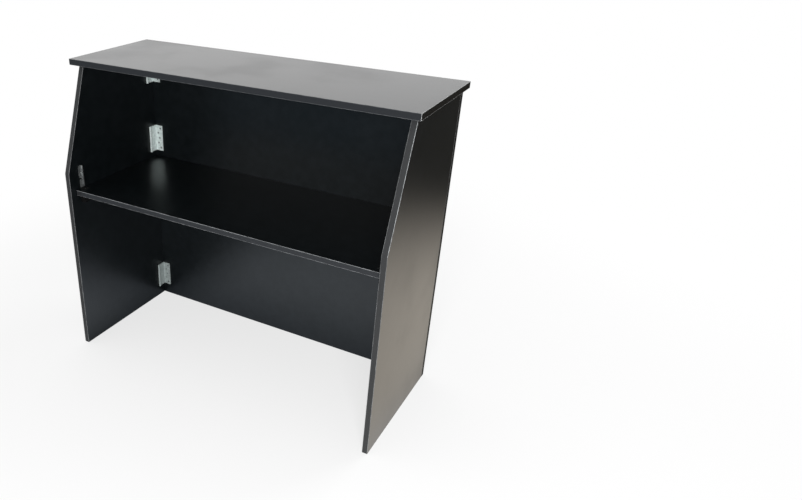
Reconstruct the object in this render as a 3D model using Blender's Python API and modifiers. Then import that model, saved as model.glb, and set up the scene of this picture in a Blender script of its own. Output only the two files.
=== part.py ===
"""A knock-down bar counter: a front panel with two hinged side panels, a lift-off top and a shelf.

Metres, +Z up. The guests stand at +Y, the bartender works from the open side at -Y, and
left and right are as the bartender sees them. The origin is on the floor, at the middle.
"""

import bmesh
import bpy
from math import atan, cos, degrees, pi, radians, sin
from mathutils import Vector

# Carcass boards
COUNTER_HEIGHT = 1.060
CARCASS_WIDTH = 1.186
BASE_DEPTH = 0.496
UPPER_DEPTH = 0.372
KNEE_RISE_FROM_SHELF = 0.066
BOARD = 0.018
BOARD_ARRIS = 0.0008

# Lift-off top and the battens under it that locate it between the panels
TOP_THICKNESS = 0.020
TOP_SIDE_OVERHANG = 0.017
TOP_REAR_OVERHANG = 0.030
TOP_FRONT_OVERHANG = 0.003
BATTEN_WIDTH = 0.018
BATTEN_DROP = 0.018
BATTEN_CLEARANCE = 0.0015
BATTEN_END_SETBACK = 0.045
BATTEN_ARRIS = 0.0015

# Loose shelf and the cleats that carry it
SHELF_DROP = 0.437
SHELF_DEPTH = 0.452
SHELF_THICKNESS = 0.018
SHELF_SIDE_CLEARANCE = 0.0010
CLEAT_WIDTH = 0.018
CLEAT_HEIGHT = 0.032
CLEAT_REAR_SETBACK = 0.045
CLEAT_CORNER_SETBACK = 0.060
CLEAT_ARRIS = 0.0015

# Corner hinges, an angled leaf on the front panel and a flat leaf under it on the side panel
HINGE_HEIGHT = 0.100
HINGE_OFFSET = 0.036
HINGE_REACH = 0.035
HINGE_LEAF = 0.0018
HINGE_EYE_RADIUS = 0.0042
HINGE_BEND_RADIUS = 0.0022
HINGE_RELIEF = 0.0058
HINGE_CRANK = 0.0046
HINGE_LEAF_MARGIN = 0.0030
HINGE_RISE_FROM_FLOOR = 0.094
HINGE_RISE_FROM_SHELF = 0.072
HINGE_DROP_FROM_TOP = 0.077
KNUCKLES = 5
KNUCKLE_PLAY = 0.0003
EYE_WRAP_DEGREES = 235
PIN_CLEARANCE = 0.0003
PIN_HEAD_RADIUS = 0.0037
PIN_HEAD_RISE = 0.0018
PIN_CHAMFER = 0.0006

# Countersunk holes in the hinge leaves, in shares of the leaf's reach and half height
HINGE_HEAD_RADIUS = 0.0039
HINGE_SHANK_RADIUS = 0.0023
FRONT_HOLE_SHARES = ((0.72, 0.77), (0.42, 0.40), (0.60, 0.0), (0.42, -0.40), (0.72, -0.77))
SIDE_HOLE_SHARES = ((0.74, 0.77), (0.46, 0.40), (0.46, -0.40), (0.74, -0.77))

# Surface bolts that lock the shelf and hold the side panels open
BOLT_SETBACK = 0.031
BOLT_PLATE_WIDTH = 0.022
BOLT_PLATE_MARGIN = 0.0118
BOLT_PLATE = 0.0015
BOLT_PLATE_CROWN = 0.0100
BOLT_PLATE_CORNER = 0.0030
BOLT_ROD_RADIUS = 0.0035
BOLT_AXIS_OFFSET = 0.0065
BOLT_GUIDE_RADIUS = 0.0052
BOLT_GUIDE_HEIGHT = 0.0085
BOLT_ROD_CLEARANCE = 0.0004
BOLT_THROW = 0.012
BOLT_ROD_HEAD = 0.0128
BOLT_STEM_RADIUS = 0.0020
BOLT_STEM_PLAY = 0.0006
BOLT_BALL_RADIUS = 0.0034
BOLT_BALL_REACH = 0.0105
KNOB_TURN = radians(60)
BOLT_TIP_CHAMFER = 0.0010
BOLT_HEAD_RADIUS = 0.0024
BOLT_SHANK_RADIUS = 0.0014

# Keepers on the shelf, below the bolts
KEEPER_HEIGHT = 0.0340
KEEPER_WIDTH = 0.020
KEEPER_SLEEVE_HEIGHT = 0.018
KEEPER_BORE_CLEARANCE = 0.0006
KEEPER_FOOT_REACH = 0.0250
KEEPER_BEND_RADIUS = 0.0020
KEEPER_TO_BOLT = 0.0040
KEEPER_TO_TIP = 0.0015
KEEPER_SCREW_INSET = 0.0055

# Shared clearances and cutter overrun
SEAT_GAP = 0.0003
OVERRUN = 0.0020

# Facet counts
ROUND_SIDES = 20
DRILL_SIDES = 12
BEND_STEPS = 4
ARRIS_STEPS = 2
EYE_STEP_DEGREES = 20
DOME_STEP_DEGREES = 30
ARRIS_ANGLE = radians(30)
SMOOTH_ANGLE = radians(35)
WELD_DISTANCE = 0.00001

# Places that follow from the sizes above
OVERALL_DEPTH = BASE_DEPTH + TOP_FRONT_OVERHANG
REAR_Y = -OVERALL_DEPTH / 2
FRONT_OUTER_Y = REAR_Y + BASE_DEPTH
FRONT_INNER_Y = FRONT_OUTER_Y - BOARD
UPPER_REAR_Y = FRONT_OUTER_Y - UPPER_DEPTH
TOP_UNDERSIDE = COUNTER_HEIGHT - TOP_THICKNESS
PANEL_TOP = TOP_UNDERSIDE - SEAT_GAP
OUTER_X = CARCASS_WIDTH / 2
INNER_X = OUTER_X - BOARD
SHELF_TOP_HEIGHT = COUNTER_HEIGHT - SHELF_DROP
SHELF_UNDERSIDE = SHELF_TOP_HEIGHT - SHELF_THICKNESS
KNEE_HEIGHT = SHELF_TOP_HEIGHT + KNEE_RISE_FROM_SHELF
SHELF_REAR_Y = FRONT_INNER_Y - SHELF_DEPTH
HINGE_AXIS_INSET = HINGE_EYE_RADIUS + SEAT_GAP
HINGE_HALF = HINGE_HEIGHT / 2
KNUCKLE_HEIGHT = HINGE_HEIGHT / KNUCKLES
BOLT_Y = SHELF_REAR_Y + BOLT_SETBACK
KEEPER_TOP = SHELF_TOP_HEIGHT + KEEPER_HEIGHT
BOLT_PLATE_LOW = KEEPER_TOP + KEEPER_TO_BOLT
BOLT_SLOT = BOLT_THROW + 2 * (BOLT_STEM_RADIUS + BOLT_STEM_PLAY)
BOLT_UPPER_LOW = BOLT_PLATE_LOW + BOLT_GUIDE_HEIGHT + BOLT_SLOT
BOLT_UPPER_HIGH = BOLT_UPPER_LOW + BOLT_GUIDE_HEIGHT
BOLT_PLATE_HIGH = BOLT_UPPER_HIGH + BOLT_PLATE_MARGIN


def new_collection(name):
    collection = bpy.data.collections.new(name)
    bpy.context.scene.collection.children.link(collection)
    return collection


for leftover in list(bpy.data.objects):
    bpy.data.objects.remove(leftover, do_unlink=True)
COUNTER = new_collection("bar_counter")
CUTTERS = new_collection("cutters")


def paint(piece, color, roughness, metallic):
    """Give a piece a material of its own."""
    finish = bpy.data.materials.new(piece.name + "_finish")
    finish.use_nodes = True
    shader = finish.node_tree.nodes["Principled BSDF"]
    shader.inputs["Base Color"].default_value = (*color, 1.0)
    shader.inputs["Roughness"].default_value = roughness
    shader.inputs["Metallic"].default_value = metallic
    piece.data.materials.clear()
    piece.data.materials.append(finish)


def paint_laminate(piece):
    paint(piece, (0.018, 0.020, 0.022), 0.35, 0.0)


def paint_timber(piece):
    paint(piece, (0.025, 0.024, 0.023), 0.65, 0.0)


def paint_zinc(piece):
    paint(piece, (0.62, 0.66, 0.66), 0.32, 1.0)


def mesh_object(name, shape, location=(0, 0, 0)):
    """Turn a bmesh into an object of the counter, with its origin at location."""
    mesh = bpy.data.meshes.new(name)
    shape.to_mesh(mesh)
    shape.free()
    piece = bpy.data.objects.new(name, mesh)
    piece.location = location
    COUNTER.objects.link(piece)
    return piece


def box(name, low, high):
    """A box between two corners, with its origin at its centre."""
    low, high = Vector(low), Vector(high)
    shape = bmesh.new()
    bmesh.ops.create_cube(shape, size=1)
    bmesh.ops.scale(shape, vec=high - low, verts=shape.verts)
    return mesh_object(name, shape, (low + high) / 2)


def rod(name, radius, axis_x, low, high):
    """An upright cylinder on a bolt's axis, from one height to another."""
    shape = bmesh.new()
    bmesh.ops.create_cone(shape, cap_ends=True, segments=ROUND_SIDES, radius1=radius, radius2=radius,
                          depth=high - low)
    return mesh_object(name, shape, (axis_x, BOLT_Y, (low + high) / 2))


def soften(piece, width):
    """Round the edges of a board or a strip."""
    bevel = piece.modifiers.new("arris", "BEVEL")
    bevel.width = width
    bevel.segments = ARRIS_STEPS
    bevel.limit_method = "ANGLE"
    bevel.angle_limit = ARRIS_ANGLE


def combine(piece, tool, operation):
    """Cut or join a piece with a tool, which leaves the counter for the cutters."""
    boolean = piece.modifiers.new(tool.name, "BOOLEAN")
    boolean.operation = operation
    boolean.solver = "EXACT"
    boolean.object = tool
    COUNTER.objects.unlink(tool)
    CUTTERS.objects.link(tool)
    tool.hide_render = True
    tool.display_type = "WIRE"


def settle(piece):
    """Replace a piece's mesh with the result of its modifiers, shaded smooth where it is round."""
    view = bpy.context.evaluated_depsgraph_get()
    view.update()
    mesh = bpy.data.meshes.new_from_object(piece.evaluated_get(view))
    mesh.name = piece.name
    piece.modifiers.clear()
    piece.data = mesh
    mesh.shade_smooth()
    mesh.set_sharp_from_angle(angle=SMOOTH_ANGLE)


def outline_board(name, points, thickness):
    """A board with the given outline in Y and Z, its origin on the floor at its mid thickness."""
    curve = bpy.data.curves.new(name, "CURVE")
    curve.dimensions = "2D"
    curve.fill_mode = "BOTH"
    curve.extrude = thickness / 2
    spline = curve.splines.new("POLY")
    spline.points.add(len(points) - 1)
    for point, (y, z) in zip(spline.points, points):
        point.co = (y, z, 0, 1)
    spline.use_cyclic_u = True
    drawn = bpy.data.objects.new(name + "_outline", curve)
    drawn.rotation_euler = (radians(90), 0, radians(90))
    COUNTER.objects.link(drawn)
    view = bpy.context.evaluated_depsgraph_get()
    view.update()
    shape = bmesh.new()
    shape.from_mesh(bpy.data.meshes.new_from_object(drawn.evaluated_get(view)))
    bmesh.ops.remove_doubles(shape, verts=shape.verts, dist=WELD_DISTANCE)
    bmesh.ops.recalc_face_normals(shape, faces=shape.faces)
    piece = mesh_object(name, shape)
    piece.matrix_world = drawn.matrix_world.copy()
    bpy.data.objects.remove(drawn, do_unlink=True)
    bpy.data.curves.remove(curve)
    return piece


def arc(centre, radius, start, end, steps):
    """Points along an arc, its ends included. Angles are in degrees."""
    turn = [radians(start + (end - start) * step / steps) for step in range(steps + 1)]
    return [(centre[0] + radius * cos(angle), centre[1] + radius * sin(angle)) for angle in turn]


def bent_plate(name, path, thickness, height, inward, location):
    """Sheet metal of one thickness that follows a path in plan and stands on both sides of location."""
    shape = bmesh.new()
    rows = []
    for level in (-height / 2, height / 2):
        rows.append([shape.verts.new((inward * x, y, level)) for x, y in path])
    for lower, upper, next_lower, next_upper in zip(rows[0], rows[1], rows[0][1:], rows[1][1:]):
        shape.faces.new((lower, next_lower, next_upper, upper))
    piece = mesh_object(name, shape, location)
    sheet = piece.modifiers.new("sheet", "SOLIDIFY")
    sheet.thickness = thickness
    sheet.offset = 0
    sheet.use_even_offset = True
    return piece


def lathe(name, profile, location):
    """A turned piece from a profile of radius and height, which runs from top to bottom."""
    shape = bmesh.new()
    ring = [shape.verts.new((radius, 0, height)) for radius, height in profile]
    for upper, lower in zip(ring, ring[1:]):
        shape.edges.new((upper, lower))
    piece = mesh_object(name, shape, location)
    turn = piece.modifiers.new("turn", "SCREW")
    turn.steps = ROUND_SIDES
    turn.render_steps = ROUND_SIDES
    turn.use_merge_vertices = True
    turn.merge_threshold = WELD_DISTANCE
    turn.use_smooth_shade = True
    return piece


def drill(piece, centres, facing, head_radius, shank_radius, plate):
    """Countersink a plate at each centre, which lies on the face that the screw heads are in."""
    facing = Vector(facing)
    turned = Vector((0, 0, 1)).rotation_difference(facing).to_matrix()
    point = shank_radius / 2
    depth = head_radius - point
    heads = bmesh.new()
    shanks = bmesh.new()
    for centre in centres:
        cone = bmesh.ops.create_cone(heads, cap_ends=True, segments=DRILL_SIDES, radius1=point,
                                     radius2=head_radius + OVERRUN, depth=depth + OVERRUN)["verts"]
        bmesh.ops.rotate(heads, verts=cone, matrix=turned)
        bmesh.ops.translate(heads, verts=cone, vec=Vector(centre) + facing * (OVERRUN - depth) / 2)
        hole = bmesh.ops.create_cone(shanks, cap_ends=True, segments=DRILL_SIDES, radius1=shank_radius,
                                     radius2=shank_radius, depth=plate + OVERRUN)["verts"]
        bmesh.ops.rotate(shanks, verts=hole, matrix=turned)
        bmesh.ops.translate(shanks, verts=hole, vec=Vector(centre) - facing * plate / 2)
    combine(piece, mesh_object(piece.name + "_shanks", shanks, piece.location), "DIFFERENCE")
    combine(piece, mesh_object(piece.name + "_heads", heads, piece.location), "DIFFERENCE")


def build_panels():
    """The front panel runs the full width, and the side panels butt against its back."""
    front = box("front_panel", (-OUTER_X, FRONT_INNER_Y, 0), (OUTER_X, FRONT_OUTER_Y, PANEL_TOP))
    soften(front, BOARD_ARRIS)
    paint_laminate(front)
    profile = ((REAR_Y, 0), (FRONT_INNER_Y - SEAT_GAP, 0), (FRONT_INNER_Y - SEAT_GAP, PANEL_TOP),
               (UPPER_REAR_Y, PANEL_TOP), (REAR_Y, KNEE_HEIGHT))
    for name, side in (("left_side_panel", -1), ("right_side_panel", 1)):
        panel = outline_board(name, profile, BOARD)
        panel.location.x = side * (OUTER_X - BOARD / 2)
        soften(panel, BOARD_ARRIS)
        paint_laminate(panel)


def build_top():
    """The top lies on the panels, and its battens drop between them."""
    half = OUTER_X + TOP_SIDE_OVERHANG
    top = box("counter_top", (-half, UPPER_REAR_Y - TOP_REAR_OVERHANG, TOP_UNDERSIDE),
              (half, FRONT_OUTER_Y + TOP_FRONT_OVERHANG, COUNTER_HEIGHT))
    soften(top, BOARD_ARRIS)
    paint_laminate(top)
    high = TOP_UNDERSIDE - SEAT_GAP
    low = high - BATTEN_DROP
    outer = INNER_X - BATTEN_CLEARANCE
    front = FRONT_INNER_Y - BATTEN_CLEARANCE
    rear = UPPER_REAR_Y + BATTEN_END_SETBACK
    for name, side in (("left_top_batten", -1), ("right_top_batten", 1)):
        edges = sorted((side * outer, side * (outer - BATTEN_WIDTH)))
        batten = box(name, (edges[0], rear, low), (edges[1], front, high))
        soften(batten, BATTEN_ARRIS)
        paint_timber(batten)
    reach = outer - BATTEN_WIDTH - SEAT_GAP
    batten = box("front_top_batten", (-reach, front - BATTEN_WIDTH, low), (reach, front, high))
    soften(batten, BATTEN_ARRIS)
    paint_timber(batten)


def build_shelf():
    """The shelf lies loose on three cleats that are screwed to the panels."""
    half = INNER_X - SHELF_SIDE_CLEARANCE
    shelf = box("shelf", (-half, SHELF_REAR_Y, SHELF_UNDERSIDE),
                (half, FRONT_INNER_Y - SEAT_GAP, SHELF_TOP_HEIGHT))
    soften(shelf, BOARD_ARRIS)
    paint_laminate(shelf)
    high = SHELF_UNDERSIDE - SEAT_GAP
    low = high - CLEAT_HEIGHT
    rear = REAR_Y + CLEAT_REAR_SETBACK
    front = FRONT_INNER_Y - CLEAT_CORNER_SETBACK
    for name, side in (("left_shelf_cleat", -1), ("right_shelf_cleat", 1)):
        edges = sorted((side * (INNER_X - SEAT_GAP), side * (INNER_X - SEAT_GAP - CLEAT_WIDTH)))
        cleat = box(name, (edges[0], rear, low), (edges[1], front, high))
        soften(cleat, CLEAT_ARRIS)
        paint_timber(cleat)
    reach = INNER_X - CLEAT_CORNER_SETBACK
    cleat = box("front_shelf_cleat", (-reach, FRONT_INNER_Y - SEAT_GAP - CLEAT_WIDTH, low),
                (reach, FRONT_INNER_Y - SEAT_GAP, high))
    soften(cleat, CLEAT_ARRIS)
    paint_timber(cleat)


def rolled_eye():
    """The path of a leaf's end, rolled round the pin from the side panel's face."""
    radius = HINGE_EYE_RADIUS - HINGE_LEAF / 2
    return arc((0, 0), radius, 180, 180 + EYE_WRAP_DEGREES, EYE_WRAP_DEGREES // EYE_STEP_DEGREES)


def front_leaf_path():
    """Plan of the angled leaf, along the front panel, round the corner and cranked down to the eye."""
    limb = HINGE_LEAF + SEAT_GAP + HINGE_LEAF / 2 - HINGE_EYE_RADIUS
    face = HINGE_OFFSET - SEAT_GAP - HINGE_LEAF / 2
    corner = (limb + HINGE_BEND_RADIUS, face - HINGE_BEND_RADIUS)
    shift = limb + HINGE_EYE_RADIUS - HINGE_LEAF / 2
    crank = (shift * shift + HINGE_CRANK * HINGE_CRANK) / (4 * shift)
    turn = degrees(2 * atan(shift / HINGE_CRANK))
    path = [(HINGE_REACH - HINGE_AXIS_INSET, face)]
    path += arc(corner, HINGE_BEND_RADIUS, 90, 180, BEND_STEPS)
    path += arc((limb - crank, HINGE_CRANK), crank, 0, -turn, BEND_STEPS)
    path += arc((limb - shift + crank, 0), crank, 180 - turn, 180, BEND_STEPS)[1:-1]
    return path + rolled_eye()


def side_leaf_path():
    """Plan of the flat leaf, from near the corner to its eye."""
    flat = HINGE_LEAF / 2 - HINGE_EYE_RADIUS
    return [(flat, HINGE_OFFSET - HINGE_LEAF_MARGIN)] + rolled_eye()


def relieve_knuckles(leaf, first):
    """Cut back a leaf where the other leaf's knuckles sit, every second one from the bottom."""
    for number in range(first, KNUCKLES, 2):
        low = number * KNUCKLE_HEIGHT - HINGE_HALF
        high = low + KNUCKLE_HEIGHT
        low -= OVERRUN if number == 0 else KNUCKLE_PLAY / 2
        high += OVERRUN if number == KNUCKLES - 1 else KNUCKLE_PLAY / 2
        reach = HINGE_EYE_RADIUS + OVERRUN
        notch = box(leaf.name + "_notch", (-reach, -reach, low), (reach, HINGE_RELIEF, high))
        combine(leaf, notch, "DIFFERENCE")


def hinge_meshes(inward):
    """The two leaves for one side of the counter, built round the pin's axis at mid height."""
    front = bent_plate("front_leaf", front_leaf_path(), HINGE_LEAF, HINGE_HEIGHT, inward, (0, 0, 0))
    relieve_knuckles(front, 1)
    face = HINGE_OFFSET - SEAT_GAP - HINGE_LEAF
    holes = [(inward * (across * HINGE_REACH - HINGE_AXIS_INSET), face, up * HINGE_HALF)
             for across, up in FRONT_HOLE_SHARES]
    drill(front, holes, (0, -1, 0), HINGE_HEAD_RADIUS, HINGE_SHANK_RADIUS, HINGE_LEAF)
    side = bent_plate("side_leaf", side_leaf_path(), HINGE_LEAF, HINGE_HEIGHT, inward, (0, 0, 0))
    relieve_knuckles(side, 0)
    face = HINGE_LEAF - HINGE_EYE_RADIUS
    holes = [(inward * face, along * HINGE_OFFSET, up * HINGE_HALF) for along, up in SIDE_HOLE_SHARES]
    drill(side, holes, (inward, 0, 0), HINGE_HEAD_RADIUS, HINGE_SHANK_RADIUS, HINGE_LEAF)
    meshes = []
    for leaf in (front, side):
        settle(leaf)
        meshes.append(leaf.data)
        bpy.data.objects.remove(leaf, do_unlink=True)
    return meshes


def pin_mesh():
    """The hinge pin, with a domed head that sits on the top knuckle."""
    radius = HINGE_EYE_RADIUS - HINGE_LEAF - PIN_CLEARANCE
    seat = HINGE_HALF + SEAT_GAP
    dome = [(PIN_HEAD_RADIUS * sin(radians(angle)), seat + PIN_HEAD_RISE * cos(radians(angle)))
            for angle in range(0, 91, DOME_STEP_DEGREES)]
    profile = dome + [(radius, seat), (radius, PIN_CHAMFER - HINGE_HALF)]
    profile += [(radius - PIN_CHAMFER, -HINGE_HALF), (0, -HINGE_HALF)]
    pin = lathe("pin", profile, (0, 0, 0))
    settle(pin)
    mesh = pin.data
    bpy.data.objects.remove(pin, do_unlink=True)
    return mesh


def place(name, mesh, location):
    """Put one copy of a shared mesh in the counter, with a mesh of its own name."""
    piece = bpy.data.objects.new(name, mesh.copy())
    piece.location = location
    COUNTER.objects.link(piece)
    paint_zinc(piece)


def build_hinges():
    """Three hinges stand in each corner, on an axis that stays clear of the front panel."""
    pin = pin_mesh()
    levels = (("top", TOP_UNDERSIDE - HINGE_DROP_FROM_TOP),
              ("middle", SHELF_TOP_HEIGHT + HINGE_RISE_FROM_SHELF),
              ("bottom", HINGE_RISE_FROM_FLOOR))
    for corner, inward in (("left", 1), ("right", -1)):
        front_leaf, side_leaf = hinge_meshes(inward)
        for level, height in levels:
            centre = (inward * (HINGE_AXIS_INSET - INNER_X), FRONT_INNER_Y - HINGE_OFFSET, height)
            stem = corner + "_" + level + "_hinge_"
            place(stem + "front_leaf", front_leaf, centre)
            place(stem + "side_leaf", side_leaf, centre)
            place(stem + "pin", pin, centre)


def bolt_guide(body, inward, axis_x, low, high):
    """Join a formed guide to the plate, from its flanks to its crown over the rod."""
    crown = rod(body.name + "_crown", BOLT_GUIDE_RADIUS, axis_x, low, high)
    wall = axis_x - inward * (BOLT_AXIS_OFFSET - SEAT_GAP - BOLT_PLATE / 2)
    edges = sorted((wall, axis_x))
    flanks = box(body.name + "_flanks", (edges[0], BOLT_Y - BOLT_GUIDE_RADIUS, low),
                 (edges[1], BOLT_Y + BOLT_GUIDE_RADIUS, high))
    combine(body, flanks, "UNION")
    combine(body, crown, "UNION")


def bolt_plate_outline():
    """The plate's outline in Y and Z, with a crowned top."""
    half = BOLT_PLATE_WIDTH / 2
    points = []
    for side, level, radius, start in ((1, BOLT_PLATE_LOW + BOLT_PLATE_CORNER, BOLT_PLATE_CORNER, -90),
                                       (1, BOLT_PLATE_HIGH - BOLT_PLATE_CROWN, BOLT_PLATE_CROWN, 0),
                                       (-1, BOLT_PLATE_HIGH - BOLT_PLATE_CROWN, BOLT_PLATE_CROWN, 90),
                                       (-1, BOLT_PLATE_LOW + BOLT_PLATE_CORNER, BOLT_PLATE_CORNER, 180)):
        points += arc((BOLT_Y + side * (half - radius), level), radius, start, start + 90, BEND_STEPS)
    return points


def build_bolt_body(name, inward, axis_x):
    """A plate on the side panel with a guide at each end of the knob's slot."""
    body = outline_board(name, bolt_plate_outline(), BOLT_PLATE)
    body.location.x = axis_x - inward * (BOLT_AXIS_OFFSET - SEAT_GAP - BOLT_PLATE / 2)
    bolt_guide(body, inward, axis_x, BOLT_PLATE_LOW, BOLT_PLATE_LOW + BOLT_GUIDE_HEIGHT)
    bolt_guide(body, inward, axis_x, BOLT_UPPER_LOW, BOLT_UPPER_HIGH)
    bore = rod(name + "_bore", BOLT_ROD_RADIUS + BOLT_ROD_CLEARANCE, axis_x,
               BOLT_PLATE_LOW - OVERRUN, BOLT_PLATE_HIGH + OVERRUN)
    combine(body, bore, "DIFFERENCE")
    across = (BOLT_PLATE_WIDTH / 2 + BOLT_GUIDE_RADIUS) / 2
    face = inward * BOLT_PLATE / 2
    levels = [low + BOLT_GUIDE_HEIGHT / 2 for low in (BOLT_PLATE_LOW, BOLT_UPPER_LOW)]
    holes = [(face, BOLT_Y + side * across, level) for side in (-1, 1) for level in levels]
    drill(body, holes, (inward, 0, 0), BOLT_HEAD_RADIUS, BOLT_SHANK_RADIUS, BOLT_PLATE)
    settle(body)
    paint_zinc(body)


def domed(radius, summit, last):
    """Profile points of a ball's surface, from its summit to a last angle in degrees."""
    turn = [radians(angle) for angle in range(0, last + 1, DOME_STEP_DEGREES)]
    return [(radius * sin(angle), summit - radius * (1 - cos(angle))) for angle in turn]


def build_bolt_rod(name, inward, axis_x):
    """The rod stands drawn, its tip just above the keeper and its knob below the upper guide.

    The knob is turned towards the bartender.
    """
    knob = BOLT_UPPER_LOW - BOLT_STEM_PLAY - BOLT_STEM_RADIUS
    tip = KEEPER_TOP + KEEPER_TO_TIP - knob
    profile = domed(BOLT_ROD_RADIUS, BOLT_UPPER_HIGH + BOLT_ROD_HEAD - knob, 90)
    profile.append((BOLT_ROD_RADIUS, tip + BOLT_TIP_CHAMFER))
    profile += [(BOLT_ROD_RADIUS - BOLT_TIP_CHAMFER, tip), (0, tip)]
    piece = lathe(name, profile, (axis_x, BOLT_Y, knob))
    neck = (BOLT_BALL_RADIUS ** 2 - BOLT_STEM_RADIUS ** 2) ** 0.5
    stem = domed(BOLT_BALL_RADIUS, BOLT_BALL_REACH + BOLT_BALL_RADIUS, 120)
    stem += [(BOLT_STEM_RADIUS, BOLT_BALL_REACH - neck), (BOLT_STEM_RADIUS, 0), (0, 0)]
    grip = lathe(name + "_knob", stem, piece.location)
    grip.rotation_euler = (0, inward * pi / 2, -inward * KNOB_TURN)
    combine(piece, grip, "UNION")
    settle(piece)
    paint_zinc(piece)


def build_keeper(name, inward, axis_x):
    """An angle on the shelf whose sleeve takes the rod."""
    wall = BOLT_AXIS_OFFSET - SHELF_SIDE_CLEARANCE - SEAT_GAP
    low = SHELF_TOP_HEIGHT + SEAT_GAP
    half = BOLT_PLATE / 2
    bend = KEEPER_BEND_RADIUS
    upright = half - wall
    path = [(upright, KEEPER_TOP - low), (upright, half + bend)]
    path += arc((upright + bend, half + bend), bend, 180, 270, BEND_STEPS)[1:]
    path.append((KEEPER_FOOT_REACH - wall, half))
    keeper = bent_plate(name, path, BOLT_PLATE, KEEPER_WIDTH, inward, (axis_x, BOLT_Y, low))
    keeper.rotation_euler = (pi / 2, 0, 0)
    sleeve_low = KEEPER_TOP - KEEPER_SLEEVE_HEIGHT
    sleeve = rod(name + "_sleeve", wall, axis_x, sleeve_low, KEEPER_TOP)
    combine(keeper, sleeve, "UNION")
    bore = rod(name + "_bore", BOLT_ROD_RADIUS + KEEPER_BORE_CLEARANCE, axis_x,
               sleeve_low - OVERRUN, KEEPER_TOP + OVERRUN)
    combine(keeper, bore, "DIFFERENCE")
    screw = inward * (KEEPER_FOOT_REACH - wall - KEEPER_SCREW_INSET)
    holes = [(screw, y * KEEPER_WIDTH / 4, BOLT_PLATE) for y in (-1, 1)]
    drill(keeper, holes, (0, 0, 1), BOLT_HEAD_RADIUS, BOLT_SHANK_RADIUS, BOLT_PLATE)
    settle(keeper)
    paint_zinc(keeper)


def build_bolts():
    for side, inward in (("left", 1), ("right", -1)):
        axis_x = inward * (BOLT_AXIS_OFFSET - INNER_X)
        build_bolt_body(side + "_bolt_body", inward, axis_x)
        build_bolt_rod(side + "_bolt_rod", inward, axis_x)
        build_keeper(side + "_bolt_keeper", inward, axis_x)


build_panels()
build_top()
build_shelf()
build_hinges()
build_bolts()
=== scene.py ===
from math import cos, hypot, pi, sin

import bmesh
import bpy
from mathutils import Matrix, Vector


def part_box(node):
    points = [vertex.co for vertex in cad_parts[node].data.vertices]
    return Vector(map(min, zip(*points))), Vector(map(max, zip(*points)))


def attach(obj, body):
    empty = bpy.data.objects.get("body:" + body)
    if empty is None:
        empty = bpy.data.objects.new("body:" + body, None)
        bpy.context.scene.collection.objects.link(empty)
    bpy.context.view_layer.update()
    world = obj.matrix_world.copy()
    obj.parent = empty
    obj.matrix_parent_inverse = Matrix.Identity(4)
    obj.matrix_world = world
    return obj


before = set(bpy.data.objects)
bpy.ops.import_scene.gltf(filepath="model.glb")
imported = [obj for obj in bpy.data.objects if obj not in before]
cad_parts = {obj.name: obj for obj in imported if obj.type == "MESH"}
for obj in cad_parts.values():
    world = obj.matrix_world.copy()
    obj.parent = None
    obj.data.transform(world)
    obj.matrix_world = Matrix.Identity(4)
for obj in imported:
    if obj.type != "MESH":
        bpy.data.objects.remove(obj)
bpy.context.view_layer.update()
scene = bpy.context.scene
scene.view_settings.view_transform = "Standard"

# Floor: a wide sheet of studio paper that is white to the camera and takes the counter's soft shadow.
# Gloss sees a graded studio in it, painted into the paper's glow: painted shade at the left, warm painted
# light at the right, painted shade from the counter to the guests' side and at the front left, and dim far
# off.
WHITE = (1.0, 1.0, 1.0, 1.0)
FLOOR_SPAN = 60.0
PAPER_COLOUR = (0.88, 0.88, 0.88, 1.0)
# Painted shade: to bounced light the paper darkens far off, a painted pool of light.
PAPER_PAINTED_SHADE = (0.030, 0.030, 0.032, 1.0)
PAPER_ROUGHNESS = 1.0
PAPER_SHINE = 0.0
PAPER_CENTRE = (0.25, 0.15, 0.0)
PAPER_FALLOFF = (0.75, 2.20)
GLOSS_OPEN = (1.04, 1.12, 1.22, 1.0)
GLOSS_UNDER_PAINTED_SHADE = (0.36, 0.40, 0.46, 1.0)
GLOSS_LEFT_PAINTED_SHADE = (0.07, 0.09, 0.11, 1.0)
GLOSS_RIGHT_PAINTED_LIGHT = (1.30, 1.18, 1.01, 1.0)
GLOSS_FAR_PAINTED_SHADE = (0.060, 0.055, 0.046, 1.0)
GLOSS_FRONT_LEFT_PAINTED_SHADE = (0.13, 0.18, 0.23, 1.0)
GLOSS_FRONT_RIGHT_PAINTED_LIGHT = (1.00, 1.10, 1.22, 1.0)
UNDER_GRADE = (-0.25, 0.30)
LEFT_GRADE = (-0.68, -0.30)
RIGHT_GRADE = (0.40, 0.72)
FRONT_GRADE = (-1.15, -0.45)
FRONT_RIGHT_GRADE = (0.55, 1.20)
GLOSS_COVER = 0.9
SHADOW_KEEP = 0.32
SHADOW_FADE = (1.2, 2.3)


def feed(tree, value, socket):
    """Lead a source to a socket, or set the socket to a plain value."""
    if isinstance(value, bpy.types.NodeSocket):
        tree.links.new(value, socket)
    else:
        socket.default_value = value


def add_node(tree, kind, inputs=None, **settings):
    """Add a node, with settings as its properties and inputs as the values or sources of its sockets."""
    node = tree.nodes.new(kind)
    for name, value in settings.items():
        setattr(node, name, value)
    for name, value in (inputs or {}).items():
        feed(tree, value, node.inputs[name])
    return node


def own_spot(tree):
    """Where a point lies in its piece's own space."""
    return add_node(tree, "ShaderNodeTexCoord").outputs["Object"]


def split(tree, spot):
    """The X, Y and Z of a spot."""
    return add_node(tree, "ShaderNodeSeparateXYZ", {0: spot}).outputs


def maths(tree, operation, first, second=0.0):
    """One step of arithmetic on values."""
    return add_node(tree, "ShaderNodeMath", {0: first, 1: second}, operation=operation).outputs[0]


def vector_maths(tree, operation, first, second=(0.0, 0.0, 0.0)):
    """One step of arithmetic on vectors, which gives a Vector or a Value."""
    return add_node(tree, "ShaderNodeVectorMath", {0: first, 1: second}, operation=operation).outputs


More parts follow.
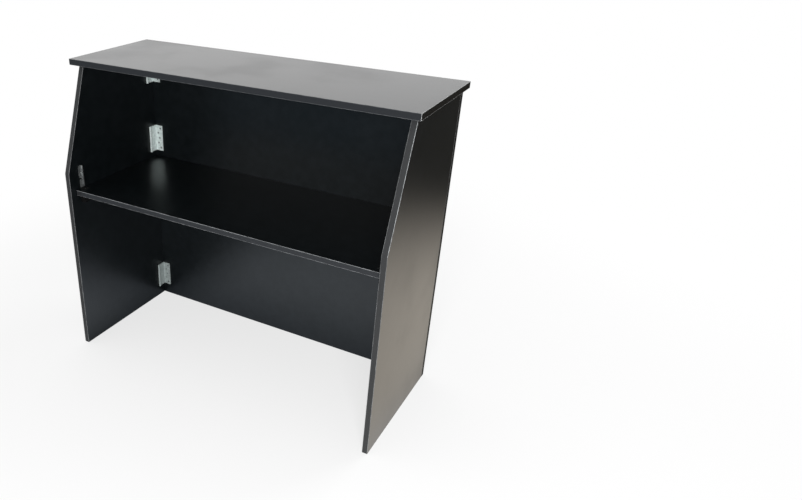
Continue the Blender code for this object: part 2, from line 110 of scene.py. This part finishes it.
def ramp(tree, value, start, end, low=0.0, high=1.0):
    """Run smoothly from low to high while the value goes from start to end."""
    inputs = {"Value": value, "From Min": start, "From Max": end, "To Min": low, "To Max": high}
    return add_node(tree, "ShaderNodeMapRange", inputs, interpolation_type="SMOOTHSTEP").outputs["Result"]


def tint(tree, share, first, second):
    """Mix two colours by a share. A Mix node's colours are its sockets 6 and 7, and its output 2."""
    return add_node(tree, "ShaderNodeMix", {0: share, 6: first, 7: second}, data_type="RGBA").outputs[2]


def new_material(name):
    """Start a material, and return it with its node tree and its shader."""
    material = bpy.data.materials.new(name)
    material.use_nodes = True
    return material, material.node_tree, material.node_tree.nodes["Principled BSDF"]


floor_mesh = bpy.data.meshes.new("studio_floor")
half = FLOOR_SPAN / 2
corners = [(-half, -half, 0), (half, -half, 0), (half, half, 0), (-half, half, 0)]
floor_mesh.from_pydata(corners, [], [(0, 1, 2, 3)])
floor = bpy.data.objects.new("studio_floor", floor_mesh)
scene.collection.objects.link(floor)

paper, tree, shader = new_material("studio_paper")
shader.inputs["Roughness"].default_value = PAPER_ROUGHNESS
shader.inputs["Specular IOR Level"].default_value = PAPER_SHINE
rays = add_node(tree, "ShaderNodeLightPath").outputs
spot = own_spot(tree)
from_centre = vector_maths(tree, "SUBTRACT", spot, PAPER_CENTRE)["Vector"]
distance = vector_maths(tree, "LENGTH", from_centre)["Value"]
falloff = ramp(tree, distance, *PAPER_FALLOFF)
# Painted pool of light: to bounced rays the paper fades to painted shade far off, while the camera sees it
# white.
paper_painted_pool = tint(tree, falloff, PAPER_COLOUR, PAPER_PAINTED_SHADE)
feed(tree, tint(tree, rays["Is Camera Ray"], paper_painted_pool, PAPER_COLOUR), shader.inputs["Base Color"])
across, ahead, _ = split(tree, spot)
# Painted reflections: the paper's glow to gloss rays is graded with painted light and shade.
gloss = tint(tree, ramp(tree, ahead, *UNDER_GRADE), GLOSS_OPEN, GLOSS_UNDER_PAINTED_SHADE)
gloss = tint(tree, ramp(tree, across, *LEFT_GRADE), GLOSS_LEFT_PAINTED_SHADE, gloss)
gloss = tint(tree, ramp(tree, across, *RIGHT_GRADE), gloss, GLOSS_RIGHT_PAINTED_LIGHT)
gloss = tint(tree, falloff, gloss, GLOSS_FAR_PAINTED_SHADE)
front = tint(tree, ramp(tree, across, *FRONT_RIGHT_GRADE), GLOSS_FRONT_LEFT_PAINTED_SHADE, GLOSS_FRONT_RIGHT_PAINTED_LIGHT)
gloss = tint(tree, ramp(tree, ahead, *FRONT_GRADE), front, gloss)
glow = tint(tree, rays["Is Camera Ray"], gloss, WHITE)
bare_paper = add_node(tree, "ShaderNodeEmission", {"Color": glow})
to_camera = ramp(tree, distance, *SHADOW_FADE, 1 - SHADOW_KEEP, 1.0)
to_camera = maths(tree, "MULTIPLY", to_camera, rays["Is Camera Ray"])
to_gloss = maths(tree, "MAXIMUM", rays["Is Glossy Ray"], rays["Is Transmission Ray"])
cover = maths(tree, "MAXIMUM", to_camera, maths(tree, "MULTIPLY", to_gloss, GLOSS_COVER))
lit = add_node(tree, "ShaderNodeMixShader", {0: cover, 1: shader.outputs[0], 2: bare_paper.outputs[0]})
feed(tree, lit.outputs[0], tree.nodes["Material Output"].inputs["Surface"])
floor_mesh.materials.append(paper)

# Studio light: a white surround that lights the boards softly, more from the left, and three softboxes, in
# front at the right, over the guests' side and wide behind at the left. Only the wide one shows in gloss,
# and lays a sheen on the top.
SURROUND_GLOSS = 1.12
SURROUND_LEFT = 0.95
SURROUND_RIGHT = 0.25
SOFTBOXES = (
    ("key_softbox", (1.6, -3.0, 1.5), (1.6, 1.2), 120.0, False),
    ("guest_softbox", (1.8, 3.4, 2.4), (2.2, 2.0), 60.0, False),
    ("back_softbox", (-2.4, 3.9, 2.2), (4.8, 2.0), 12.5, True),
)
LIGHT_TARGET = Vector((0.0, 0.0, 0.6))

surround = bpy.data.worlds.new("studio_surround")
surround.use_nodes = True
scene.world = surround
tree = surround.node_tree
rays = add_node(tree, "ShaderNodeLightPath").outputs
in_gloss = maths(tree, "MULTIPLY", rays["Is Glossy Ray"], SURROUND_GLOSS)
bright = maths(tree, "MAXIMUM", rays["Is Camera Ray"], in_gloss)
bright = maths(tree, "MAXIMUM", bright, rays["Is Transmission Ray"])
sideways = split(tree, add_node(tree, "ShaderNodeTexCoord").outputs["Generated"])["X"]
soft = ramp(tree, sideways, -1.0, 1.0, SURROUND_LEFT, SURROUND_RIGHT)
backdrop = tree.nodes["Background"]
backdrop.inputs["Color"].default_value = WHITE
feed(tree, maths(tree, "MAXIMUM", bright, soft), backdrop.inputs["Strength"])

for name, place, size, power, mirrored in SOFTBOXES:
    lamp = bpy.data.lights.new(name, "AREA")
    lamp.shape = "RECTANGLE"
    lamp.size, lamp.size_y = size
    lamp.energy = power
    softbox = bpy.data.objects.new(name, lamp)
    softbox.location = place
    softbox.visible_glossy = mirrored
    softbox.rotation_euler = (LIGHT_TARGET - Vector(place)).to_track_quat("-Z", "Y").to_euler()
    scene.collection.objects.link(softbox)

# Camera: it stands in front at the bartender's right, at about eye height, as in the photograph. The counter
# fills the left half of the frame, so the lens is shifted.
CAMERA_PLACE = (1.1908, -1.9060, 1.5678)
CAMERA_TURN = (1.0823, 0.0, 0.5658)
CAMERA_SENSOR = 36.0
CAMERA_LENS = 32.43
CAMERA_SHIFT = (0.1956, 0.0239)

lens = bpy.data.cameras.new("photo_camera")
lens.sensor_width = CAMERA_SENSOR
lens.lens = CAMERA_LENS
lens.shift_x, lens.shift_y = CAMERA_SHIFT
camera = bpy.data.objects.new("photo_camera", lens)
camera.location = CAMERA_PLACE
camera.rotation_euler = CAMERA_TURN
scene.collection.objects.link(camera)
scene.camera = camera

# Boards: chipboard faced with black melamine, and a lighter mottled charcoal on the guests' face that is
# painted light, with a plastic band ironed onto the sawn edges. The band is greyer than the black faces, but
# painted near black on the top's ends as painted shade.
# Its arrises carry painted highlights: pale lines, strongest at the top's ends and on the right panel's
# slanted edge.
MELAMINE = ((0.0030, 0.0042, 0.0048, 1.0), (0.0052, 0.0068, 0.0078, 1.0))
GUEST_FACE_PAINTED_LIGHT = ((0.029, 0.034, 0.039, 1.0), (0.039, 0.046, 0.052, 1.0))
FACE_ROUGHNESS = (0.28, 0.32)
ARRIS_HIGHLIGHT_ROUGHNESS = 0.60
TOP_END_PAINTED_SHADE = (0.0045, 0.0045, 0.0042, 1.0)
TOP_END_PAINTED_HIGHLIGHT = (0.55, 0.56, 0.56, 1.0)
SLANT_PAINTED_HIGHLIGHT = (0.50, 0.52, 0.53, 1.0)
BAND_THICKNESS = 0.0006
ARRIS_WIDTH = 0.0020
ARRIS_HIGHLIGHT_FADE_SHARES = (0.5, 1.3)
KNEE_HEIGHT = 0.689
UPPER_REAR_Y = -0.1255
OUT_OF_REACH = 10.0
NO_SLANT = ((0.0, 0.0, 0.0), OUT_OF_REACH)
RAW_MARGIN = 0.05
GRAIN_DEPTH = 0.000012
MOTTLE_RANGE = (0.34, 0.66)
SMUDGE_RANGE = (0.40, 0.68)

# Edges as band colour, painted arris highlight colour and band roughness
PANEL_EDGE = ((0.030, 0.031, 0.032, 1.0), (0.22, 0.225, 0.23, 1.0), 0.90)
TOP_EDGE = ((0.019, 0.020, 0.022, 1.0), (0.16, 0.165, 0.17, 1.0), 0.30)
SHELF_EDGE = ((0.025, 0.026, 0.028, 1.0), (0.30, 0.31, 0.32, 1.0), 0.30)

# Patterns as scale, detail and roughness
MOTTLE = (38.0, 5.0, 0.62)
SMUDGE = (3.2, 3.0, 0.5)
GRAIN = (1150.0, 2.0, 0.6)
ARRIS_HIGHLIGHT_WANDER = (46.0, 4.0, 0.6)


def blend(tree, share, first, second):
    """Run smoothly from one value to another while the share grows."""
    return ramp(tree, share, 0.0, 1.0, first, second)


def pattern(tree, spot, scale, detail, roughness):
    """A cloudy pattern over a piece."""
    inputs = {"Vector": spot, "Scale": scale, "Detail": detail, "Roughness": roughness}
    return add_node(tree, "ShaderNodeTexNoise", inputs).outputs["Fac"]


def new_group(name, inputs, outputs):
    """Start a shader group, with the kinds of its inputs by name and the names of the values it gives."""
    group = bpy.data.node_groups.new(name, "ShaderNodeTree")
    for label, kind in inputs.items():
        group.interface.new_socket(label, in_out="INPUT", socket_type="NodeSocket" + kind)
    for label in outputs:
        group.interface.new_socket(label, in_out="OUTPUT", socket_type="NodeSocketFloat")
    return group, group.nodes.new("NodeGroupInput").outputs


def give(group, **values):
    """Finish a shader group by leading values to its outputs of the same names."""
    results = group.nodes.new("NodeGroupOutput")
    for label, value in values.items():
        feed(group, value, results.inputs[label])


def use_group(tree, group, **inputs):
    """Put a shader group into a material, with underscores for the spaces in its inputs' names."""
    named = {label.replace("_", " "): value for label, value in inputs.items()}
    return add_node(tree, "ShaderNodeGroup", named, node_tree=group).outputs


def finish(tree, shader, colour, roughness, height, depth):
    """Lead a colour, a roughness and a relief of the given depth to a shader."""
    feed(tree, colour, shader.inputs["Base Color"])
    feed(tree, roughness, shader.inputs["Roughness"])
    relief = add_node(tree, "ShaderNodeBump", {"Height": height, "Distance": depth})
    feed(tree, relief.outputs["Normal"], shader.inputs["Normal"])


def coat(node, material):
    """Put a material on a node of the frame."""
    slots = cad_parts[node].data.materials
    slots.clear()
    slots.append(material)


edge_inputs = dict.fromkeys(("Middle", "Half Size", "Thin Axis", "Slant Normal"), "Vector")
edge_group, given = new_group("banded_edge", {**edge_inputs, "Slant Reach": "Float"}, ("Band", "Arris"))
spot = own_spot(edge_group)
from_middle = vector_maths(edge_group, "SUBTRACT", spot, given["Middle"])["Vector"]
spread = vector_maths(edge_group, "ABSOLUTE", from_middle)["Vector"]
room = vector_maths(edge_group, "SUBTRACT", given["Half Size"], spread)["Vector"]
to_face = vector_maths(edge_group, "DOT_PRODUCT", room, given["Thin Axis"])["Value"]
in_plane = vector_maths(edge_group, "ADD", room, given["Thin Axis"])["Vector"]
first, second, third = split(edge_group, in_plane)
nearer = maths(edge_group, "MINIMUM", first, second)
farther = maths(edge_group, "MAXIMUM", first, second)
to_edge = maths(edge_group, "MINIMUM", nearer, third)
to_corner = maths(edge_group, "MAXIMUM", nearer, maths(edge_group, "MINIMUM", farther, third))
along = vector_maths(edge_group, "DOT_PRODUCT", spot, given["Slant Normal"])["Value"]
to_slant = maths(edge_group, "SUBTRACT", given["Slant Reach"], along)
to_edge = maths(edge_group, "MINIMUM", to_edge, to_slant)
to_arris = maths(edge_group, "MINIMUM", to_corner, maths(edge_group, "MAXIMUM", to_edge, to_face))
# The arris mask marks where painted highlights run, with their width wandering a little.
wander = maths(edge_group, "MULTIPLY", pattern(edge_group, spot, *ARRIS_HIGHLIGHT_WANDER), ARRIS_WIDTH)
highlight_reach = maths(edge_group, "ADD", to_arris, wander)
fade_start, fade_end = (ARRIS_WIDTH * share for share in ARRIS_HIGHLIGHT_FADE_SHARES)
give(edge_group,
     Band=ramp(edge_group, to_edge, BAND_THICKNESS / 2, BAND_THICKNESS, 1.0, 0.0),
     Arris=ramp(edge_group, highlight_reach, fade_start, fade_end, 1.0, 0.0))

skin_group, given = new_group("pressed_melamine", {"Offset": "Vector"}, ("Mottle", "Smudge", "Grain"))
spot = vector_maths(skin_group, "ADD", own_spot(skin_group), given["Offset"])["Vector"]
give(skin_group,
     Mottle=ramp(skin_group, pattern(skin_group, spot, *MOTTLE), *MOTTLE_RANGE),
     Smudge=ramp(skin_group, pattern(skin_group, spot, *SMUDGE), *SMUDGE_RANGE),
     Grain=pattern(skin_group, spot, *GRAIN))


def guest_side(tree, outer):
    """A mask for the front panel's outer face, from a little inside its plane."""
    ahead = split(tree, own_spot(tree))["Y"]
    return ramp(tree, ahead, outer - 2 * BAND_THICKNESS, outer - BAND_THICKNESS)


def both_ends(tree, end, width):
    """A mask for the last stretch of the top, towards both of its ends."""
    outward = maths(tree, "ABSOLUTE", split(tree, own_spot(tree))["X"])
    return ramp(tree, outward, end - width, end - width / 2)


def above_knee(tree, low, high):
    """A mask for a side panel above its knee, which grows towards its face at high X."""
    spot = split(tree, own_spot(tree))
    above = ramp(tree, spot["Z"], KNEE_HEIGHT - ARRIS_WIDTH, KNEE_HEIGHT + ARRIS_WIDTH)
    return maths(tree, "MULTIPLY", above, ramp(tree, spot["X"], (low.x + high.x) / 2, high.x - ARRIS_WIDTH))


def dress_board(node, thin, offset, edge, covered, slant):
    """Give a board its melamine faces, banded edges and painted arris highlights, worked out from its own
    size.

    An edge that another board covers, at the board's low or its high end, gets no band.
    """
    band_colour, arris_highlight_colour, band_roughness = edge
    low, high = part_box(node)
    low = low - Vector(covered[0]) * RAW_MARGIN
    high = high + Vector(covered[1]) * RAW_MARGIN
    material, tree, shader = new_material(node + "_melamine")
    banded = use_group(tree, edge_group, Middle=(low + high) / 2, Half_Size=(high - low) / 2,
                       Thin_Axis=thin, Slant_Normal=slant[0], Slant_Reach=slant[1])
    skin = use_group(tree, skin_group, Offset=offset)
    colour = tint(tree, skin["Mottle"], *MELAMINE)
    if node == "front_panel":
        # Painted light: the guests' face gets a lighter copy of the melamine.
        colour = tint(tree, guest_side(tree, high.y), colour, tint(tree, skin["Mottle"], *GUEST_FACE_PAINTED_LIGHT))
    if node == "counter_top":
        # Painted shade: the top's end bands are near black, and their arrises carry a stronger painted
        # highlight.
        band_colour = tint(tree, both_ends(tree, high.x, BAND_THICKNESS), band_colour, TOP_END_PAINTED_SHADE)
        arris_highlight_colour = tint(tree, both_ends(tree, high.x, ARRIS_WIDTH), arris_highlight_colour, TOP_END_PAINTED_HIGHLIGHT)
    if node == "right_side_panel":
        # A stronger painted highlight on the right panel's arris above its knee.
        arris_highlight_colour = tint(tree, above_knee(tree, low, high), arris_highlight_colour, SLANT_PAINTED_HIGHLIGHT)
    colour = tint(tree, banded["Band"], colour, band_colour)
    # Painted highlights along the arrises.
    colour = tint(tree, banded["Arris"], colour, arris_highlight_colour)
    roughness = blend(tree, skin["Smudge"], *FACE_ROUGHNESS)
    roughness = blend(tree, banded["Band"], roughness, band_roughness)
    roughness = blend(tree, banded["Arris"], roughness, ARRIS_HIGHLIGHT_ROUGHNESS)
    finish(tree, shader, colour, roughness, skin["Grain"], GRAIN_DEPTH)
    coat(node, material)


side_low, side_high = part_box("left_side_panel")
rise = side_high.z - KNEE_HEIGHT
run = UPPER_REAR_Y - side_low.y
slope = Vector((0.0, -rise, run)) / hypot(rise, run)
side_slant = (tuple(slope), slope.dot(Vector((0.0, side_low.y, KNEE_HEIGHT))))

# Ends that another board covers, low and high, along X, Y and Z
none_covered = ((0, 0, 0), (0, 0, 0))
under_top = ((0, 0, 0), (0, 0, 1))
in_corner = ((0, 0, 0), (0, 1, 1))
between_panels = ((1, 0, 0), (1, 1, 0))

# Boards as node, thin axis, offset of the pattern, edge, covered ends and slant
BOARDS = (
    ("front_panel", (0, 1, 0), (3.1, 0.0, 0.7), PANEL_EDGE, under_top, NO_SLANT),
    ("left_side_panel", (1, 0, 0), (7.9, 2.3, 0.0), PANEL_EDGE, in_corner, side_slant),
    ("right_side_panel", (1, 0, 0), (1.7, 5.2, 4.1), PANEL_EDGE, in_corner, side_slant),
    ("counter_top", (0, 0, 1), (0.4, 9.6, 2.8), TOP_EDGE, none_covered, NO_SLANT),
    ("shelf", (0, 0, 1), (6.3, 1.9, 8.5), SHELF_EDGE, between_panels, NO_SLANT),
)

for board in BOARDS:
    dress_board(*board)

# End bands of the front panel: matt black plastic strip, ironed onto the panel's two upright ends, where
# it covers the chipboard between the faces. It takes far less shine than the pressed faces do.
END_BAND = ((0.016, 0.015, 0.014, 1.0), (0.026, 0.025, 0.023, 1.0))
END_BAND_ROUGHNESS = (0.50, 0.62)
END_BAND_SHINE = 0.015
END_BAND_RISE = 0.0004
END_BAND_SET = 0.0001
END_BAND_INSET = 0.0008
END_BAND_ARRIS = 0.00015

end_band, tree, shader = new_material("matt_end_band")
shader.inputs["Specular IOR Level"].default_value = END_BAND_SHINE
skin = use_group(tree, skin_group)
roughness = blend(tree, skin["Smudge"], *END_BAND_ROUGHNESS)
finish(tree, shader, tint(tree, skin["Mottle"], *END_BAND), roughness, skin["Grain"], GRAIN_DEPTH)

panel_low, panel_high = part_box("front_panel")
size = panel_high - panel_low - 2 * END_BAND_INSET * Vector((1, 1, 1))
size.x = END_BAND_RISE + END_BAND_SET
for side, end, outward in (("left", panel_low.x, -1), ("right", panel_high.x, 1)):
    name = "front_panel_" + side + "_end_band"
    middle = (panel_low + panel_high) / 2
    middle.x = end + outward * (END_BAND_RISE - END_BAND_SET) / 2
    shape = bmesh.new()
    bmesh.ops.create_cube(shape, size=1.0, matrix=Matrix.Translation(middle) @ Matrix.Diagonal((*size, 1.0)))
    bmesh.ops.bevel(shape, geom=shape.edges[:], offset=END_BAND_ARRIS, segments=1, affect="EDGES")
    band_mesh = bpy.data.meshes.new(name)
    shape.to_mesh(band_mesh)
    shape.free()
    band_mesh.materials.append(end_band)
    band = bpy.data.objects.new(name, band_mesh)
    scene.collection.objects.link(band)
    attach(band, "carcass")

# Cleats and battens: planed softwood strips painted matt black, which carry the shelf and locate the top.
# The grain still shows through the paint, and the brush has left it a little uneven.
PAINT = ((0.0040, 0.0040, 0.0040, 1.0), (0.0085, 0.0085, 0.0085, 1.0))
BARE_WOOD = (0.014, 0.012, 0.010, 1.0)
PAINT_ROUGHNESS = (0.50, 0.72)
PAINT_SHINE = 0.05
PAINT_RANGE = (0.35, 0.65)
PAINT_GLOSS_RANGE = (0.3, 0.7)
FIGURE_SCALE = 140.0
FIGURE = (FIGURE_SCALE, 6.0, 0.65)
WEAR = (FIGURE_SCALE / 3, 3.0, 0.5)
WEAR_RANGE = (0.70, 0.76)
FIGURE_DEPTH = 0.0003
FIGURE_STRETCH = 0.06
ALONG_X = (FIGURE_STRETCH, 1.0, 1.0)
ALONG_Y = (1.0, FIGURE_STRETCH, 1.0)

paint_group, given = new_group("painted_softwood", {"Stretch": "Vector"}, ("Figure", "Worn"))
spot = vector_maths(paint_group, "MULTIPLY", own_spot(paint_group), given["Stretch"])["Vector"]
give(paint_group,
     Figure=pattern(paint_group, spot, *FIGURE),
     Worn=ramp(paint_group, pattern(paint_group, spot, *WEAR), *WEAR_RANGE))

for strip in ("shelf_cleat", "top_batten"):
    for side, stretch in (("left", ALONG_Y), ("right", ALONG_Y), ("front", ALONG_X)):
        node = side + "_" + strip
        material, tree, shader = new_material(node + "_paint")
        shader.inputs["Specular IOR Level"].default_value = PAINT_SHINE
        wood = use_group(tree, paint_group, Stretch=stretch)
        colour = tint(tree, ramp(tree, wood["Figure"], *PAINT_RANGE), *PAINT)
        colour = tint(tree, wood["Worn"], colour, BARE_WOOD)
        roughness = ramp(tree, wood["Figure"], *PAINT_GLOSS_RANGE, *PAINT_ROUGHNESS)
        finish(tree, shader, colour, roughness, wood["Figure"], FIGURE_DEPTH)
        coat(node, material)

# Hinge leaves and pins: steel strip, pressed and rolled, then bright zinc plated. The plate is a bluish grey
# with a cloudy spangle, fine rolling marks and a few dull spots, and the bottom pair is painted darker as
# painted shade.
HINGE_ZINC = ((0.62, 0.70, 0.69, 1.0), (0.82, 0.90, 0.88, 1.0))
PAINTED_SHADE_ZINC = ((0.30, 0.34, 0.335, 1.0), (0.42, 0.47, 0.46, 1.0))
ZINC_SPOT = (0.26, 0.27, 0.27, 1.0)
ZINC_ROUGHNESS = (0.42, 0.56)
ZINC_METAL = 0.25
SPANGLE = (120.0, 4.0, 0.6)
SPANGLE_RANGE = (0.32, 0.68)
DULL_SPOTS = (260.0, 3.0, 0.5)
DULL_SPOTS_RANGE = (0.70, 0.78)
ROLLING = (2200.0, 2.0, 0.5)
ROLLING_STRETCH = (1.0, 1.0, 0.06)
ROLLING_DEPTH = 0.00004
HINGE_OFFSET_STEP = (0.37, 0.0, 0.11)

zinc_group, given = new_group("zinc_plating", {"Offset": "Vector"}, ("Cloud", "Spot", "Marks"))
spot = vector_maths(zinc_group, "ADD", own_spot(zinc_group), given["Offset"])["Vector"]
rolled = vector_maths(zinc_group, "MULTIPLY", spot, ROLLING_STRETCH)["Vector"]
give(zinc_group,
     Cloud=ramp(zinc_group, pattern(zinc_group, spot, *SPANGLE), *SPANGLE_RANGE),
     Spot=ramp(zinc_group, pattern(zinc_group, spot, *DULL_SPOTS), *DULL_SPOTS_RANGE),
     Marks=pattern(zinc_group, rolled, *ROLLING))


def zinc_plate(name, offset, shades, polish=None):
    """A zinc finish for one piece, with its pattern moved by the offset and an even gloss if polished."""
    material, tree, shader = new_material(name)
    shader.inputs["Metallic"].default_value = ZINC_METAL
    plating = use_group(tree, zinc_group, Offset=offset)
    colour = tint(tree, plating["Spot"], tint(tree, plating["Cloud"], *shades), ZINC_SPOT)
    roughness = polish or blend(tree, plating["Cloud"], *ZINC_ROUGHNESS)
    finish(tree, shader, colour, roughness, plating["Marks"], ROLLING_DEPTH)
    return material


for number, node in enumerate(sorted(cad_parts)):
    if "hinge" in node:
        offset = [number * step for step in HINGE_OFFSET_STEP]
        # The bottom pair gets the darker zinc as painted shade.
        coat(node, zinc_plate(node + "_zinc", offset, PAINTED_SHADE_ZINC if "bottom" in node else HINGE_ZINC))

# Hinge screws: countersunk steel screws with a cross recess, five through each angled leaf into the front
# panel. Each head sits just below the leaf's face and is turned its own way.
HINGE_REACH = 0.035
HINGE_HOLE_SHARES = ((0.72, 0.77), (0.42, 0.40), (0.60, 0.0), (0.42, -0.40), (0.72, -0.77))
HINGE_HEAD_RADIUS = 0.0036
HINGE_LEAF = 0.0018
SCREW_COLOUR = (0.34, 0.36, 0.37, 1.0)
SCREW_GRIME_COLOUR = (0.07, 0.07, 0.075, 1.0)
SCREW_GRIME = (480.0, 3.0, 0.5)
SCREW_GRIME_RANGE = (0.35, 0.75)
SCREW_METAL = 1.0
SCREW_ROUGHNESS = 0.38
SCREW_TURN = 2.39

# The head's sizes are shares of its radius, and the taper is the recess's floor as a share of its mouth
HEAD_SIDES = 24
HEAD_RISE_SHARE = 0.12
HEAD_DEPTH_SHARE = 0.42
HEAD_FOOT_SHARE = 0.42
HEAD_CROWN_SHARES = (0.0, 0.15, 0.4, 0.7)
RECESS_REACH_SHARE = 0.58
RECESS_WIDTH_SHARE = 0.19
RECESS_DEPTH_SHARE = 0.34
RECESS_TAPER_SHARE = 0.45


def skin_rings(name, rings):
    """A solid over rings of corners, from the lowest ring to the highest."""
    shape = bmesh.new()
    levels = [[shape.verts.new(corner) for corner in ring] for ring in rings]
    for lower, upper in zip(levels, levels[1:]):
        for step in range(len(lower)):
            after = (step + 1) % len(lower)
            shape.faces.new((lower[step], lower[after], upper[after], upper[step]))
    shape.faces.new(levels[0][::-1])
    shape.faces.new(levels[-1])
    solid = bpy.data.objects.new(name, bpy.data.meshes.new(name))
    shape.to_mesh(solid.data)
    shape.free()
    scene.collection.objects.link(solid)
    return solid


def cut_screw_head():
    """One screw head of unit radius that faces +Z, with a cross recess."""
    turns = [2 * pi * step / HEAD_SIDES for step in range(HEAD_SIDES)]
    crown = [(1.0 - share, HEAD_RISE_SHARE * sin(share * pi / 2)) for share in HEAD_CROWN_SHARES]
    profile = [(HEAD_FOOT_SHARE, -HEAD_DEPTH_SHARE)] + crown
    head = skin_rings("screw_head", [[(radius * cos(turn), radius * sin(turn), height) for turn in turns]
                                     for radius, height in profile])
    narrow, wide = RECESS_WIDTH_SHARE / 2, RECESS_REACH_SHARE
    arm = [(narrow, narrow), (narrow, wide), (-narrow, wide)]
    cross = []
    for quarter in range(4):
        cross += arm
        arm = [(-y, x) for x, y in arm]
    ends = ((-RECESS_DEPTH_SHARE, RECESS_TAPER_SHARE), (2 * HEAD_RISE_SHARE, 1.0))
    recess = skin_rings("screw_recess", [[(x * taper, y * taper, height) for x, y in cross]
                                         for height, taper in ends])
    cut = head.modifiers.new("recess", "BOOLEAN")
    cut.operation = "DIFFERENCE"
    cut.solver = "EXACT"
    cut.object = recess
    view = bpy.context.evaluated_depsgraph_get()
    view.update()
    mesh = bpy.data.meshes.new_from_object(head.evaluated_get(view))
    for solid in (head, recess):
        bpy.data.objects.remove(solid, do_unlink=True)
    return mesh


screw_head_mesh = cut_screw_head()
screw_steel, tree, shader = new_material("screw_steel")
shader.inputs["Metallic"].default_value = SCREW_METAL
shader.inputs["Roughness"].default_value = SCREW_ROUGHNESS
grime = ramp(tree, pattern(tree, own_spot(tree), *SCREW_GRIME), *SCREW_GRIME_RANGE)
feed(tree, tint(tree, grime, SCREW_COLOUR, SCREW_GRIME_COLOUR), shader.inputs["Base Color"])


def drive_screws(name, centres, facing, radius, body):
    """One piece with a screw head at each centre, turned by a fixed step so that no two crosses line up."""
    turned = Vector((0, 0, 1)).rotation_difference(Vector(facing)).to_matrix().to_4x4()
    shape = bmesh.new()
    for number, centre in enumerate(centres):
        spin = Matrix.Rotation(SCREW_TURN * (number + 1), 4, "Z")
        head = screw_head_mesh.copy()
        head.transform(Matrix.Translation(centre) @ turned @ spin @ Matrix.Scale(radius, 4))
        shape.from_mesh(head)
        bpy.data.meshes.remove(head)
    mesh = bpy.data.meshes.new(name)
    shape.to_mesh(mesh)
    shape.free()
    mesh.materials.append(screw_steel)
    screws = bpy.data.objects.new(name, mesh)
    scene.collection.objects.link(screws)
    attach(screws, body)


for side, inward in (("left", 1), ("right", -1)):
    for level in ("top", "middle", "bottom"):
        stem = side + "_" + level + "_hinge_"
        low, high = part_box(stem + "front_leaf")
        far = high.x if inward > 0 else low.x
        face = high.y - HINGE_LEAF
        middle, half = (low.z + high.z) / 2, (high.z - low.z) / 2
        centres = []
        for across, up in HINGE_HOLE_SHARES:
            centres.append((far - inward * HINGE_REACH * (1 - across),
                            face + HINGE_HEAD_RADIUS * HEAD_RISE_SHARE, middle + up * half))
        drive_screws(stem + "screws", centres, (0, -1, 0), HINGE_HEAD_RADIUS, "carcass")

# Bolts and keepers: zinc plated steel, far duller than the hinges, with the rod and knob polished brighter
# by use and the keeper's foot painted dark as painted shade. Small countersunk screws hold each body to the
# side panel and each keeper to the shelf.
BOLT_ZINC = ((0.080, 0.085, 0.085, 1.0), (0.135, 0.143, 0.143, 1.0))
ROD_ZINC = ((0.16, 0.17, 0.17, 1.0), (0.27, 0.285, 0.285, 1.0))
ROD_ROUGHNESS = 0.20
BOLT_OFFSET_STEP = 0.53
BOLT_OFFSET = 0.71
FOOT_PAINTED_SHADE = (0.010, 0.011, 0.011, 1.0)
FOOT_SHADE_RISE = 0.0030
BOLT_SCREW_RADIUS = 0.0022
BOLT_PLATE = 0.0015
BOLT_PLATE_WIDTH = 0.022
BOLT_GUIDE_RADIUS = 0.0052
BOLT_GUIDE_HEIGHT = 0.0085
BOLT_SLOT = 0.0172
KEEPER_WIDTH = 0.020
KEEPER_SCREW_INSET = 0.0055


def paint_foot_shade(material, foot):
    """Paint shade onto a zinc finish, dark from the given height up to a little above it."""
    tree = material.node_tree
    colour = tree.nodes["Principled BSDF"].inputs["Base Color"]
    height = split(tree, own_spot(tree))["Z"]
    unshaded = ramp(tree, height, foot + FOOT_SHADE_RISE, foot + 2 * FOOT_SHADE_RISE)
    feed(tree, tint(tree, unshaded, FOOT_PAINTED_SHADE, colour.links[0].from_socket), colour)


for number, (side, inward) in enumerate((("left", 1), ("right", -1))):
    offset = (number * BOLT_OFFSET_STEP, BOLT_OFFSET, 0.0)
    body, keeper, rod = side + "_bolt_body", side + "_bolt_keeper", side + "_bolt_rod"
    coat(body, zinc_plate(body + "_zinc", offset, BOLT_ZINC))
    coat(rod, zinc_plate(rod + "_zinc", offset, ROD_ZINC, ROD_ROUGHNESS))
    shaded_keeper_finish = zinc_plate(keeper + "_zinc", offset, BOLT_ZINC)
    # Painted shade on the keeper's foot, where it sits on the shelf.
    paint_foot_shade(shaded_keeper_finish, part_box(keeper)[0].z)
    coat(keeper, shaded_keeper_finish)
    low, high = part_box(body)
    wall = (low.x if inward > 0 else high.x) + inward * BOLT_PLATE
    across = (BOLT_PLATE_WIDTH / 2 + BOLT_GUIDE_RADIUS) / 2
    lower = low.z + BOLT_GUIDE_HEIGHT / 2
    levels = (lower, lower + BOLT_GUIDE_HEIGHT + BOLT_SLOT)
    centres = [(wall, (low.y + high.y) / 2 + way * across, level) for way in (-1, 1) for level in levels]
    drive_screws(side + "_bolt_screws", centres, (inward, 0, 0), BOLT_SCREW_RADIUS, "carcass")
    low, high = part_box(keeper)
    far = (high.x if inward > 0 else low.x) - inward * KEEPER_SCREW_INSET
    centres = [(far, (low.y + high.y) / 2 + way * KEEPER_WIDTH / 4, low.z + BOLT_PLATE) for way in (-1, 1)]
    drive_screws(side + "_keeper_screws", centres, (0, 0, 1), BOLT_SCREW_RADIUS, "loose_shelf")
